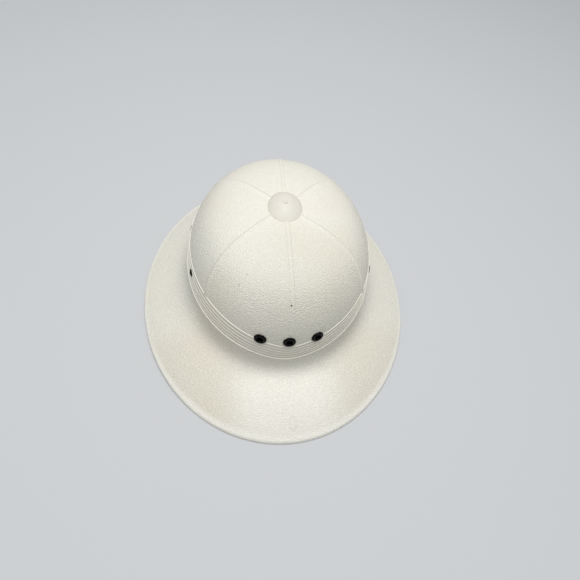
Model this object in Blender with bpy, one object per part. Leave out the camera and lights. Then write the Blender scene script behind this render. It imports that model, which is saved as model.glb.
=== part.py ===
"""A moulded sun helmet in pith helmet style: one hollow shell, a top button and seven black eyelets.

The shell is a single skin of plastic. Its outer face carries the raised strips that run from the
button down to the band, and the band's saw-tooth pleats; its inner face is plain. The front of the
helmet faces -Y, and the rim stands on the plane z = 0. Sizes are in millimetres unless a name says
otherwise, and are turned into metres where the meshes are made.
"""

from math import asin, cos, exp, hypot, pi, radians, sin, sqrt, tan, tau

import bmesh
import bpy
from mathutils import Matrix, Vector

# Units
MM = 0.001

# Crown: an oval dome, a little behind the middle of the brim
CROWN_HALF_WIDTH = 87.0
CROWN_HALF_LENGTH = 101.9
CROWN_SET_BACK = 7.2
CROWN_FOOT_HEIGHT = 43.0
CROWN_TOP_HEIGHT = 127.1
DOME_POWER_UP = 2.43
DOME_POWER_OUT = 3.25

# Brim: an oval whose rim lies flat at the front and back and lifts at the sides
BRIM_HALF_WIDTH = 135.0
BRIM_HALF_LENGTH = 157.6
SIDE_LIFT = 1.5
REST_ARC = radians(35)
LIFT_POWER = 1.4
BRIM_EDGE_SLOPE = radians(31)
LIP_RADIUS = 4.2
LIP_DROP = 1.6

# The brim's section is a Bezier curve: its handles are shares of the section's drop and run. At the
# front the handles are longer, so the brim turns out of the crown in a tighter hollow there.
FOOT_HANDLE_DOWN = 0.62
FOOT_HANDLE_OUT = 0.06
EDGE_HANDLE = 0.50
FRONT_FOOT_HANDLE_DOWN = 0.85
FRONT_FOOT_HANDLE_OUT = 0.0
FRONT_EDGE_HANDLE = 0.75
FRONT_HOLLOW_ARC = radians(30)
FRONT_HOLLOW_END = radians(80)

# Skin
WALL = 2.4

# Band of pleats round the foot of the crown, which dips to a point at the front
BAND_SIDE_HEIGHT = 58.6
FRONT_DIP = 12.5
FRONT_DIP_ARC = radians(20)
FRONT_DIP_ROUNDING = radians(5)
REAR_DIP = 5.0
REAR_DIP_ARC = radians(60)
BAND_FRONT_WIDTH = 20.0
BAND_WIDTH_GAIN = 4.8
BAND_GAIN_ARC = radians(35)
PLEATS = 6
PLEAT_DEPTH = 0.85
EDGE_PLEAT_DEPTH = 1.15
LEDGE_FALL = 0.3

# Raised strips from the button to the band
STRIP_ANGLES = [radians(a) for a in (0, 53, 131, 180, 229, 307)]
STRIP_WIDTH = 3.8
STRIP_HEIGHT = 0.75
STRIP_FLANK = 0.7
STRIP_START = 17.0
STRIP_RAMP = 2.5

# Top button: a low dome, a little longer than it is wide, held by a stem with a head inside the crown
BUTTON_RADIUS = 14.7
BUTTON_LENGTH_RATIO = 1.156
BUTTON_HEIGHT = 7.0
BUTTON_POWER = 1.5
BUTTON_ROWS = 7
PIP_RADIUS = 1.8
PIP_HEIGHT = 0.5
STEM_RADIUS = 3.0
STEM_HEAD_RADIUS = 6.5
STEM_HEAD_HEIGHT = 1.6

# Eyelets: a rounded flange outside, a barrel through the wall and a flat flange inside. The four at
# the sides are smaller than the three at the front.
EYELET_RADIUS = 5.5
EYELET_HOLE_RADIUS = 2.7
EYELET_BARREL_RADIUS = 3.6
EYELET_STAND = 1.2
EYELET_HEAD_RADIUS = 4.9
EYELET_HEAD_HEIGHT = 0.7
FRONT_EYELET_HEIGHT = 73.1
SIDE_EYELET_HEIGHT = 72.0
FRONT_SCALE = 1.0
SIDE_SCALE = 0.62
SEAT_MARGIN = 0.7
EYELETS = {
    "eyelet_front_centre": {"angle": radians(0), "height": FRONT_EYELET_HEIGHT, "scale": FRONT_SCALE},
    "eyelet_front_left": {"angle": radians(-14.2), "height": FRONT_EYELET_HEIGHT, "scale": FRONT_SCALE},
    "eyelet_front_right": {"angle": radians(14.2), "height": FRONT_EYELET_HEIGHT, "scale": FRONT_SCALE},
    "eyelet_side_left": {"angle": radians(-71.8), "height": SIDE_EYELET_HEIGHT, "scale": SIDE_SCALE},
    "eyelet_side_right": {"angle": radians(71.8), "height": SIDE_EYELET_HEIGHT, "scale": SIDE_SCALE},
    "eyelet_side_left_rear": {"angle": radians(-106.5), "height": SIDE_EYELET_HEIGHT, "scale": SIDE_SCALE},
    "eyelet_side_right_rear": {"angle": radians(106.5), "height": SIDE_EYELET_HEIGHT, "scale": SIDE_SCALE},
}

# Gap between pieces that touch, and how far cutters run past what they cut
GAP = 0.3
OVERCUT = 6.0

# Mesh density
COLUMN_TURN = radians(8.3)
DOME_ROWS = 12
BRIM_ROWS = 9
UNDERSIDE_ROWS = 5
INNER_DOME_ROWS = 7
DOME_ROW_CROWDING = 0.82
TURNED_SIDES = 14
BUTTON_SIDES = 30
STRIP_CROWDING = 0.3


# Outlines seen from above. An angle is measured at the crown's axis, from the front towards +X.

def crown_radius(angle, inset=0.0):
    """Distance from the crown's axis to the foot of its oval."""
    half_width = CROWN_HALF_WIDTH - inset
    half_length = CROWN_HALF_LENGTH - inset
    return 1 / hypot(sin(angle) / half_width, cos(angle) / half_length)


def brim_radius(angle):
    """Distance from the crown's axis to the brim's oval, which is centred on the origin."""
    across = sin(angle) / BRIM_HALF_WIDTH
    along = -cos(angle) / BRIM_HALF_LENGTH
    start = CROWN_SET_BACK / BRIM_HALF_LENGTH
    a = across ** 2 + along ** 2
    b = along * start
    c = start ** 2 - 1
    return (-b + sqrt(b * b - a * c)) / a


def plan_point(angle, radius):
    """A point seen from above, at a distance from the crown's axis."""
    return radius * sin(angle), CROWN_SET_BACK - radius * cos(angle)


def rim_height(angle):
    """Height of the rim's underside: zero over the arcs at the front and back that it rests on."""
    x, y = plan_point(angle, brim_radius(angle))
    side = abs(x / BRIM_HALF_WIDTH)
    share = (side - sin(REST_ARC)) / (1 - sin(REST_ARC))
    return SIDE_LIFT * max(share, 0.0) ** LIFT_POWER


def turned_from_front(angle):
    """The same angle without its side, from 0 at the front to pi at the back."""
    return abs((angle + pi) % tau - pi)


def band_foot(angle):
    """Height of the band's lowest ledge."""
    from_front = turned_from_front(angle)
    from_back = pi - from_front
    rounded = hypot(from_front, FRONT_DIP_ROUNDING) - FRONT_DIP_ROUNDING
    front = exp(-rounded / FRONT_DIP_ARC)
    rear = 0.5 + 0.5 * cos(pi * min(from_back / REAR_DIP_ARC, 1.0))
    return BAND_SIDE_HEIGHT - FRONT_DIP * front - REAR_DIP * rear


def band_width(angle):
    """Height from the band's lowest ledge to its highest."""
    return BAND_FRONT_WIDTH + BAND_WIDTH_GAIN * (1 - exp(-turned_from_front(angle) / BAND_GAIN_ARC))


def band_top(angle):
    """Height of the band's highest ledge."""
    return band_foot(angle) + band_width(angle)


# Sections. Each gives a point as (distance from the crown's axis, height).

def dome_share_at(height, inset=0.0):
    """The dome's radius at a height, as a share of its foot's."""
    rise = CROWN_TOP_HEIGHT - inset - CROWN_FOOT_HEIGHT
    up = min(max((height - CROWN_FOOT_HEIGHT) / rise, 0.0), 1.0)
    return (1 - up ** DOME_POWER_UP) ** (1 / DOME_POWER_OUT)


def dome_height_at(share, inset=0.0):
    """The dome's height where its radius is a share of its foot's."""
    rise = CROWN_TOP_HEIGHT - inset - CROWN_FOOT_HEIGHT
    return CROWN_FOOT_HEIGHT + rise * (1 - min(share, 1.0) ** DOME_POWER_OUT) ** (1 / DOME_POWER_UP)


def wall_point(angle, height, inset=0.0):
    """A point on the crown's wall, or on its inner face when inset by the wall."""
    return crown_radius(angle, inset) * dome_share_at(height, inset), height


def cap_point(angle, radius, inset=0.0):
    """A point on the crown's top, at a distance from its axis."""
    return radius, dome_height_at(radius / crown_radius(angle, inset), inset)


def wall_foot(angle):
    """Height where the band's last pleat has run out and the brim's curve starts."""
    return band_foot(angle) - band_width(angle) / (PLEATS - 1)


def front_share(angle):
    """How much the brim's front shape counts: 1 over the front arc, and 0 from the sides back."""
    left = (FRONT_HOLLOW_END - turned_from_front(angle)) / (FRONT_HOLLOW_END - FRONT_HOLLOW_ARC)
    left = min(max(left, 0.0), 1.0)
    return left * left * (3 - 2 * left)


def brim_section(angle, share, inset=0.0):
    """A point on the brim's curve from the wall's foot (0) to the lip (1), offset inwards by inset."""
    foot_radius, foot_height = wall_point(angle, wall_foot(angle))
    lip_turn = pi / 2 - BRIM_EDGE_SLOPE
    edge_radius = brim_radius(angle) - LIP_RADIUS * (1 - sin(BRIM_EDGE_SLOPE))
    edge_height = rim_height(angle) + LIP_DROP + LIP_RADIUS * sin(lip_turn)
    run = edge_radius - foot_radius
    drop = foot_height - edge_height
    front = front_share(angle)
    down = (FOOT_HANDLE_DOWN + front * (FRONT_FOOT_HANDLE_DOWN - FOOT_HANDLE_DOWN)) * drop
    out = (FOOT_HANDLE_OUT + front * (FRONT_FOOT_HANDLE_OUT - FOOT_HANDLE_OUT)) * run
    handle = (EDGE_HANDLE + front * (FRONT_EDGE_HANDLE - EDGE_HANDLE)) * run
    points = [
        Vector((foot_radius, foot_height)),
        Vector((foot_radius + out, foot_height - down)),
        Vector((edge_radius - handle, edge_height + handle * tan(BRIM_EDGE_SLOPE))),
        Vector((edge_radius, edge_height)),
    ]
    left = 1 - share
    weights = (left ** 3, 3 * left ** 2 * share, 3 * left * share ** 2, share ** 3)
    place = sum((w * p for w, p in zip(weights, points)), Vector((0, 0)))
    slopes = (left ** 2, 2 * left * share, share ** 2)
    run_of_curve = sum((s * (q - p) for s, p, q in zip(slopes, points, points[1:])), Vector((0, 0)))
    outward = Vector((-run_of_curve.y, run_of_curve.x)).normalized()
    place -= inset * outward
    return place.x, place.y


def lip_point(angle, turn, inset=0.0):
    """A point on the rim's rounded lip: turn goes from the brim's slope to straight down."""
    centre_radius = brim_radius(angle) - LIP_RADIUS
    centre_height = rim_height(angle) + LIP_DROP
    radius = LIP_RADIUS - inset
    return centre_radius + radius * sin(turn), centre_height + radius * cos(turn)


# Rows of the shell. Each is a function from an angle to a point of the section, with the share of
# the strips' height that it carries.

def outer_rows():
    """Rows of the outer face, from the stem's hole out and down to the rim's underside."""
    hole = STEM_RADIUS + GAP
    rows = [(lambda a, r=r: cap_point(a, r), 0.0) for r in (hole, BUTTON_RADIUS - GAP, STRIP_START)]
    rows.append((lambda a: cap_point(a, STRIP_START + STRIP_RAMP), 1.0))
    for row in range(1, DOME_ROWS + 1):
        rows.append((lambda a, s=row / (DOME_ROWS + 1): dome_row(a, s), 1.0))
    rows += pleat_rows()
    for row in range(BRIM_ROWS + 1):
        rows.append((lambda a, s=row / BRIM_ROWS: brim_section(a, s), 0.0))
    for share in (0.35, 0.7, 1.0):
        turn = BRIM_EDGE_SLOPE + share * (pi / 2 - BRIM_EDGE_SLOPE)
        rows.append((lambda a, t=turn: lip_point(a, t), 0.0))
    rows.append((lambda a: (brim_radius(a), rim_height(a)), 0.0))
    return rows


def dome_row(angle, share, inset=0.0, low=None):
    """A point of the dome from its cap (0) down to the band's top ledge (1) or another low height."""
    outer = crown_radius(angle, inset)
    start = asin(min(((STRIP_START + STRIP_RAMP) / outer) ** (DOME_POWER_OUT / 2), 1.0))
    low_height = band_top(angle) if low is None else low
    stop = asin(min(dome_share_at(low_height, inset) ** (DOME_POWER_OUT / 2), 1.0))
    turn = start + share ** DOME_ROW_CROWDING * (stop - start)
    part = sin(turn) ** (2 / DOME_POWER_OUT)
    return outer * part, dome_height_at(part, inset)


def pleat_rows():
    """Two rows for each ledge: where it leaves the wall, and its proud lip below."""
    rows = []
    for pleat in range(PLEATS):
        depth = EDGE_PLEAT_DEPTH if pleat in (0, PLEATS - 1) else PLEAT_DEPTH
        share = 1 - pleat / (PLEATS - 1)
        strip = 1.0 if pleat == 0 else 0.0
        rows.append((lambda a, s=share: pleat_point(a, s, LEDGE_FALL / 2, 0.0), strip))
        rows.append((lambda a, s=share, d=depth: pleat_point(a, s, -LEDGE_FALL / 2, d), 0.0))
    return rows


def pleat_point(angle, share, above, proud):
    """A point at a ledge: share goes up the band, and proud is how far it stands off the wall."""
    height = band_foot(angle) + share * band_width(angle)
    radius = wall_point(angle, height)[0]
    return radius + proud, height + above


def inner_rows():
    """Rows of the inner face, from the rim's underside back up to the stem's hole."""
    rows = [(lambda a: (brim_radius(a) - WALL, rim_height(a)), 0.0)]
    rows.append((lambda a: lip_point(a, pi / 2, WALL), 0.0))
    for row in range(UNDERSIDE_ROWS, -1, -1):
        rows.append((lambda a, s=row / UNDERSIDE_ROWS: brim_section(a, s, WALL), 0.0))
    for row in range(INNER_DOME_ROWS, -1, -1):
        rows.append((lambda a, s=row / INNER_DOME_ROWS: inner_dome_row(a, s), 0.0))
    rows.append((lambda a: cap_point(a, STEM_RADIUS + GAP, WALL), 0.0))
    return rows


def inner_dome_row(angle, share):
    """A point of the inner face between its cap and a little above the brim's curve."""
    low = wall_foot(angle) + band_width(angle) / (PLEATS - 1)
    return dome_row(angle, share, WALL, low)


def row_angles(place):
    """The angles of one row's columns: four at each strip, and the rest spread evenly between."""
    angles = []
    flat = STRIP_WIDTH / 2
    foot = flat + STRIP_FLANK
    for strip, following in zip(STRIP_ANGLES, STRIP_ANGLES[1:] + STRIP_ANGLES[:1]):
        span = (following - strip) % tau
        most = STRIP_CROWDING * span
        here = min(foot / place(strip)[0], most)
        there = min(foot / place(following)[0], most)
        inner = here * flat / foot
        angles += [(strip - inner, 1.0), (strip + inner, 1.0), (strip + here, 0.0)]
        steps = round(span / COLUMN_TURN)
        for step in range(1, steps):
            angles.append((strip + here + step / steps * (span - here - there), 0.0))
        angles.append((following - there, 0.0))
    return angles


def raised(place, angle, height):
    """A point of a row, moved off the surface along the normal of its section."""
    radius, level = place(angle)
    if height == 0:
        return radius, level
    outer = crown_radius(angle)
    step = 0.01
    share = min(radius / outer, 0.999)
    slope = Vector((step * outer, dome_height_at(share) - dome_height_at(max(share - step, 0.0))))
    outward = Vector((-slope.y, slope.x)).normalized()
    return radius + height * outward.x, level + height * outward.y


def shell_mesh():
    """The shell as a closed grid: round the helmet, and from the hole out, under and back up."""
    mesh = bmesh.new()
    rings = []
    for place, carried in outer_rows() + inner_rows():
        ring = []
        for angle, on_strip in row_angles(place):
            radius, height = raised(place, angle, carried * on_strip * STRIP_HEIGHT)
            x, y = plan_point(angle, radius)
            ring.append(mesh.verts.new(Vector((x, y, height)) * MM))
        rings.append(ring)
    for above, below in zip(rings, rings[1:] + rings[:1]):
        for here in range(len(above)):
            after = (here + 1) % len(above)
            mesh.faces.new((above[here], below[here], below[after], above[after]))
    bmesh.ops.recalc_face_normals(mesh, faces=mesh.faces)
    return finished(mesh, "shell")


# Helpers that turn meshes into objects

def finished(mesh, name):
    """A bmesh as a smooth-shaded mesh with its sharp edges kept."""
    data = bpy.data.meshes.new(name)
    mesh.to_mesh(data)
    mesh.free()
    data.shade_smooth()
    data.set_sharp_from_angle(angle=radians(28))
    return data


def turned(name, profile, sides):
    """A closed solid turned about Z from a closed profile of (radius, height), clockwise from the top."""
    mesh = bmesh.new()
    rings = []
    for radius, height in profile:
        if radius == 0:
            rings.append([mesh.verts.new((0, 0, height * MM))])
            continue
        ring = []
        for side in range(sides):
            angle = tau * side / sides
            ring.append(mesh.verts.new((radius * MM * cos(angle), radius * MM * sin(angle), height * MM)))
        rings.append(ring)
    closed = profile[0][0] > 0
    pairs = zip(rings, rings[1:] + rings[:1]) if closed else zip(rings, rings[1:])
    for above, below in pairs:
        for side in range(sides):
            after = (side + 1) % sides
            corners = [above[side % len(above)], below[side % len(below)]]
            corners += [below[after % len(below)], above[after % len(above)]]
            distinct = list(dict.fromkeys(corners))
            mesh.faces.new(distinct)
    bmesh.ops.recalc_face_normals(mesh, faces=mesh.faces)
    return finished(mesh, name)


def material(name, colour, roughness):
    """A Principled material for a moulded piece."""
    made = bpy.data.materials.new(name)
    made.use_nodes = True
    shader = made.node_tree.nodes["Principled BSDF"]
    shader.inputs["Base Color"].default_value = (*colour, 1.0)
    shader.inputs["Roughness"].default_value = roughness
    shader.inputs["Metallic"].default_value = 0.0
    made.diffuse_color = (*colour, 1.0)
    return made


def placed(name, data, look=None, matrix=None):
    """An object with the mesh, its material and its place."""
    item = bpy.data.objects.new(name, data)
    bpy.context.collection.objects.link(item)
    if look:
        data.materials.append(look)
    if matrix:
        item.matrix_world = matrix
    return item


# Places on the crown

def crown_place(angle, height):
    """A frame on the crown's wall: its origin on the surface, +Z pointing out of it."""
    def at(a, h):
        radius, level = wall_point(a, h)
        return Vector((*plan_point(a, radius), level)) * MM
    turn = radians(0.5)
    rise = 0.01 * height
    origin = at(angle, height)
    around = at(angle + turn, height) - at(angle - turn, height)
    up = at(angle, height + rise) - at(angle, height - rise)
    outward = around.cross(up).normalized()
    sideways = around.normalized()
    upward = outward.cross(sideways)
    facing = Matrix((sideways, upward, outward)).transposed().to_4x4()
    return Matrix.Translation(origin) @ facing


# The pieces

def make_shell(look):
    """The shell, with a seat and a hole cut for each eyelet."""
    shell = placed("shell", shell_mesh(), look)
    for name, eyelet in EYELETS.items():
        hole = EYELET_BARREL_RADIUS * eyelet["scale"] + GAP
        seat = EYELET_RADIUS * eyelet["scale"] + SEAT_MARGIN
        profile = [
            (0, OVERCUT),
            (seat, OVERCUT),
            (seat, 0),
            (hole, 0),
            (hole, -WALL - OVERCUT),
            (0, -WALL - OVERCUT),
        ]
        data = turned("cutter_" + name, profile, TURNED_SIDES)
        cutter = placed("cutter_" + name, data, None, crown_place(eyelet["angle"], eyelet["height"]))
        cutter.hide_render = True
        cutter.display_type = "WIRE"
        cut = shell.modifiers.new("seat_" + name, "BOOLEAN")
        cut.operation = "DIFFERENCE"
        cut.solver = "EXACT"
        cut.object = cutter
    return shell


def button_height_at(radius):
    """The height of the button's dome above the crown's top, at a distance from its middle."""
    return GAP + (BUTTON_HEIGHT - GAP) * (1 - (radius / BUTTON_RADIUS) ** BUTTON_POWER)


def make_button(look):
    """The top button: a low dome with a pip, and a stem with a head inside the crown."""
    top = BUTTON_HEIGHT
    inner_face = -WALL - GAP
    profile = [(0, top + PIP_HEIGHT), (PIP_RADIUS * 0.6, top + PIP_HEIGHT * 0.85)]
    profile.append((PIP_RADIUS, button_height_at(PIP_RADIUS)))
    for row in range(2, BUTTON_ROWS + 1):
        radius = BUTTON_RADIUS * row / BUTTON_ROWS
        profile.append((radius, button_height_at(radius)))
    profile += [(STEM_RADIUS, GAP), (STEM_RADIUS, inner_face)]
    profile += [(STEM_HEAD_RADIUS, inner_face), (STEM_HEAD_RADIUS, inner_face - STEM_HEAD_HEIGHT)]
    profile += [(0, inner_face - STEM_HEAD_HEIGHT)]
    data = turned("top_button", profile, BUTTON_SIDES)
    for corner in data.vertices:
        outside = corner.co.z > 0
        if outside and hypot(corner.co.x, corner.co.y) > 1.01 * STEM_RADIUS * MM:
            corner.co.y *= BUTTON_LENGTH_RATIO
    seat = Matrix.Translation(Vector((0, CROWN_SET_BACK, CROWN_TOP_HEIGHT)) * MM)
    return placed("top_button", data, look, seat)


def eyelet_profile(scale):
    """The closed section of an eyelet: its radii follow the scale, and its thicknesses don't."""
    hole = EYELET_HOLE_RADIUS * scale
    edge = EYELET_RADIUS * scale
    barrel = EYELET_BARREL_RADIUS * scale
    head = EYELET_HEAD_RADIUS * scale
    stand = EYELET_STAND + GAP
    # the inner flange is flat, so it clears the wall's hollow curve and its facets as well as the gap
    hollow = EYELET_HEAD_RADIUS ** 2 / CROWN_HALF_WIDTH / 2
    inner_face = -WALL - GAP - 4 * hollow
    back = inner_face - EYELET_HEAD_HEIGHT
    return [
        (hole + 0.08 * edge, 0.62 * stand),
        (hole + 0.15 * edge, 0.93 * stand),
        ((hole + edge) / 2, stand),
        (0.92 * edge, 0.80 * stand),
        (edge, GAP),
        (barrel, GAP),
        (barrel, inner_face),
        (head, inner_face),
        (head, back),
        (hole, back),
        (hole, 0.45 * stand),
    ]


def make_eyelets(look):
    """The eyelets, each square to the wall in its seat."""
    for name, eyelet in EYELETS.items():
        data = turned(name, eyelet_profile(eyelet["scale"]), TURNED_SIDES)
        placed(name, data, look, crown_place(eyelet["angle"], eyelet["height"]))


def main():
    """Clear the scene and build the helmet."""
    for item in list(bpy.data.objects):
        bpy.data.objects.remove(item, do_unlink=True)
    make_shell(material("shell_plastic", (0.67, 0.65, 0.55), 0.62))
    make_button(material("button_plastic", (0.60, 0.59, 0.52), 0.5))
    make_eyelets(material("eyelet_black", (0.01, 0.01, 0.012), 0.3))


main()
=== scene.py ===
# %% [markdown]
# # A moulded sun helmet, dressed over its CAD frame
#
# The real helmet is one thin shell of ivory plastic in the style of a pith helmet. Strips that copy
# the taped seams of a cork helmet run down the crown, and a band of pleats that copies a wound scarf
# goes round its foot. A separate button closes the top, and seven black eyelets let air in.
#
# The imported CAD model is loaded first. It fixes the place and size of every piece, and the looks
# below are fitted to it. The front of the helmet faces -Y, and the rim stands on z = 0.

import math

import bmesh
import bpy
import numpy as np
from mathutils import Matrix, Vector


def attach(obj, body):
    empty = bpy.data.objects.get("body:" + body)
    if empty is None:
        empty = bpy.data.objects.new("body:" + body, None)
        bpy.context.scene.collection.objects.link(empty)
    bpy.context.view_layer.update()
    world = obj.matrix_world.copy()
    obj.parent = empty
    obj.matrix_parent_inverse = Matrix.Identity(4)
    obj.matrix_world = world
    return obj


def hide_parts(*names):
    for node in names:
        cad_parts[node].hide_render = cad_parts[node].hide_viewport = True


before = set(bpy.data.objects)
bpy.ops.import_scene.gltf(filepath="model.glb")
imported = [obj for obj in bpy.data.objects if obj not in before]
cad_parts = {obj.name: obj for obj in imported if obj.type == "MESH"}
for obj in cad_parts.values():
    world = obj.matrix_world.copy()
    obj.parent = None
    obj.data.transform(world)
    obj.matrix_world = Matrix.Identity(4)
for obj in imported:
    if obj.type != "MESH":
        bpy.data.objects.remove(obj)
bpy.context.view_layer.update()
BODY = "root"
MM = 0.001
print("CAD nodes:", sorted(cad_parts))

# %% [markdown]
# ## Camera, floor and light
#
# The photograph looks down on the helmet from in front, a little from its right, with the camera
# rolled. The camera's place was found by fitting its view of the solids to the outline, the
# eyelets and the button in the photograph. The photograph is square, so one lens width serves both
# ways, and no shift is needed.

# %% Camera
CAMERA_PLACE = Vector((-47.0, -248.7, 406.5)) * MM
CAMERA_TARGET = Vector((16.54, 4.22, 0.0)) * MM
CAMERA_ROLL = math.radians(10.5)
CAMERA_LENS = 27.57


def aimed(place, target, roll=0.0):
    """The matrix of a camera or a light that looks from place to target, turned about its view."""
    back = (place - target).normalized()
    right = Vector((0, 0, 1)).cross(back).normalized()
    up = back.cross(right)
    facing = Matrix((right, up, back)).transposed().to_4x4()
    return Matrix.Translation(place) @ facing @ Matrix.Rotation(roll, 4, "Z")


def in_scene(name, data):
    """A new object for some data, linked to the scene."""
    made = bpy.data.objects.new(name, data)
    bpy.context.collection.objects.link(made)
    return made


camera_data = bpy.data.cameras.new("photo_camera")
camera_data.lens = CAMERA_LENS
camera_data.sensor_width = 36.0
camera_data.sensor_fit = "HORIZONTAL"
camera_data.clip_start = 0.01
camera = in_scene("photo_camera", camera_data)
camera.matrix_world = aimed(CAMERA_PLACE, CAMERA_TARGET, CAMERA_ROLL)
bpy.context.scene.camera = camera
camera_slope = math.degrees(math.asin((CAMERA_PLACE - CAMERA_TARGET).normalized().z))
print("camera looks down", round(camera_slope, 1), "degrees")

# %% [markdown]
# The light of the photograph comes from overhead, so the crown's top and the brim are bright, and the
# wall between them is darkest. One wide lamp above the helmet does that, and a weak world fills the
# shade. Their strengths were found by comparing renders with the photograph's tones.

# %% Lamp and world
LAMP_PLACE = Vector((-0.03, -0.03, 1.7))
LAMP_TARGET = Vector((0.0, 0.0, 0.05))
LAMP_SIZE = 1.0
LAMP_POWER = 23.5
WORLD_LIGHT = 0.45
WORLD_COLOUR = (0.95, 0.97, 1.0, 1.0)

lamp_data = bpy.data.lights.new("overhead_lamp", "AREA")
lamp_data.shape = "DISK"
lamp_data.size = LAMP_SIZE
lamp_data.energy = LAMP_POWER
lamp = in_scene("overhead_lamp", lamp_data)
lamp.matrix_world = aimed(LAMP_PLACE, LAMP_TARGET)

world = bpy.data.worlds.new("studio")
world.use_nodes = True
background = world.node_tree.nodes["Background"]
background.inputs["Color"].default_value = WORLD_COLOUR
background.inputs["Strength"].default_value = WORLD_LIGHT
bpy.context.scene.world = world
bpy.context.scene.view_settings.view_transform = "Standard"
print("lamp:", LAMP_POWER, "W, world:", WORLD_LIGHT)

# %% [markdown]
# ## Helpers for node trees
#
# A node tree is easier to read as one line for each node. `add` makes a node, sets its options and
# fills its inputs: a socket given as a value is linked, and anything else is set.

# %% Node helpers
def add(tree, kind, inputs=None, **options):
    """A node of a tree, with its options set and its inputs linked or set."""
    made = tree.nodes.new(kind)
    for name, value in options.items():
        setattr(made, name, value)
    for key, value in (inputs or {}).items():
        if isinstance(value, bpy.types.NodeSocket):
            tree.links.new(value, made.inputs[key])
        else:
            made.inputs[key].default_value = value
    return made


def calc(tree, operation, *values):
    """The result of a Math node."""
    return add(tree, "ShaderNodeMath", dict(enumerate(values)), operation=operation).outputs[0]


def product(tree, first, *others):
    """The product of two values or more."""
    for value in others:
        first = calc(tree, "MULTIPLY", first, value)
    return first


def axes(tree, vector):
    """A vector's X, Y and Z, to be picked by name."""
    return add(tree, "ShaderNodeSeparateXYZ", {0: vector}).outputs


def ramped(tree, value, low, high, to_low=0.0, to_high=1.0, smooth=True):
    """A value that goes from to_low to to_high as the given one goes from low to high."""
    kind = "SMOOTHSTEP" if smooth else "LINEAR"
    given = {"Value": value, "From Min": low, "From Max": high, "To Min": to_low, "To Max": to_high}
    return add(tree, "ShaderNodeMapRange", given, interpolation_type=kind).outputs["Result"]


def socket(tree, name, kind, default=None, output=False):
    """A named input or output of a node group."""
    way = "OUTPUT" if output else "INPUT"
    made = tree.interface.new_socket(name=name, in_out=way, socket_type=kind)
    if default is not None:
        made.default_value = default
    return made


print("node helpers:", [helper.__name__ for helper in (add, calc, product, axes, ramped, socket)])

# %% [markdown]
# ## The shell's form
#
# The shell follows rules, so its fine mesh is worked out from the same few sizes as the CAD solid:
# a dome whose height and width follow a rounded power curve, an oval brim a little in front of the
# dome, and a Bezier section that flows from the wall out to the rim's turned lip. Everything is
# measured from the dome's axis, by an angle that starts at the front and grows towards +X.

# %% Shell sizes, in millimetres
CROWN_HALF_WIDTH = 87.0
CROWN_HALF_LENGTH = 101.9
CROWN_SET_BACK = 7.2
CROWN_FOOT_HEIGHT = 43.0
CROWN_TOP_HEIGHT = 127.1
DOME_POWER_UP = 2.43
DOME_POWER_OUT = 3.25

BRIM_HALF_WIDTH = 135.0
BRIM_HALF_LENGTH = 157.6
SIDE_LIFT = 1.5
REST_ARC = math.radians(35)
LIFT_POWER = 1.4
BRIM_EDGE_SLOPE = math.radians(31)
LIP_RADIUS = 4.2
LIP_DROP = 1.6
FOOT_HANDLE_DOWN = 0.62
FOOT_HANDLE_OUT = 0.06
EDGE_HANDLE = 0.50
FRONT_FOOT_HANDLE_DOWN = 0.85
FRONT_FOOT_HANDLE_OUT = 0.0
FRONT_EDGE_HANDLE = 0.75
FRONT_HOLLOW_ARC = math.radians(30)
FRONT_HOLLOW_END = math.radians(80)
WALL = 2.4

BAND_SIDE_HEIGHT = 58.6
FRONT_DIP = 12.5
FRONT_DIP_ARC = math.radians(27)
FRONT_DIP_ROUNDING = math.radians(5)
REAR_DIP = 5.0
REAR_DIP_ARC = math.radians(60)
BAND_FRONT_WIDTH = 20.0
BAND_WIDTH_GAIN = 4.3
BAND_GAIN_ARC = math.radians(35)
PLEATS = 6
print("crown", (2 * CROWN_HALF_WIDTH, 2 * CROWN_HALF_LENGTH), "mm")
print("brim", (2 * BRIM_HALF_WIDTH, 2 * BRIM_HALF_LENGTH), "mm")


# %% Outlines seen from above
def crown_radius(angle, inset=0.0):
    """Distance from the axis to the foot of the crown's oval."""
    across = np.sin(angle) / (CROWN_HALF_WIDTH - inset)
    along = np.cos(angle) / (CROWN_HALF_LENGTH - inset)
    return 1 / np.hypot(across, along)


def brim_radius(angle):
    """Distance from the crown's axis to the brim's oval, which is centred on the origin."""
    across = np.sin(angle) / BRIM_HALF_WIDTH
    along = -np.cos(angle) / BRIM_HALF_LENGTH
    start = CROWN_SET_BACK / BRIM_HALF_LENGTH
    a = across ** 2 + along ** 2
    b = along * start
    c = start ** 2 - 1
    return (-b + np.sqrt(b * b - a * c)) / a


def rim_height(angle):
    """Height of the rim's underside, which rests on the floor at the front and back."""
    side = np.abs(brim_radius(angle) * np.sin(angle)) / BRIM_HALF_WIDTH
    share = (side - math.sin(REST_ARC)) / (1 - math.sin(REST_ARC))
    return SIDE_LIFT * np.clip(share, 0, None) ** LIFT_POWER


def turned_from_front(angle):
    """The same angle without its side, from 0 at the front to pi at the back."""
    return np.abs((angle + math.pi) % math.tau - math.pi)


def band_foot(angle):
    """Height of the band's lowest ledge."""
    from_front = turned_from_front(angle)
    rounded = np.hypot(from_front, FRONT_DIP_ROUNDING) - FRONT_DIP_ROUNDING
    front = np.exp(-rounded / FRONT_DIP_ARC)
    rear = 0.5 + 0.5 * np.cos(math.pi * np.minimum((math.pi - from_front) / REAR_DIP_ARC, 1.0))
    return BAND_SIDE_HEIGHT - FRONT_DIP * front - REAR_DIP * rear


def band_width(angle):
    """Height from the band's lowest ledge to its highest."""
    return BAND_FRONT_WIDTH + BAND_WIDTH_GAIN * (1 - np.exp(-turned_from_front(angle) / BAND_GAIN_ARC))


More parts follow.
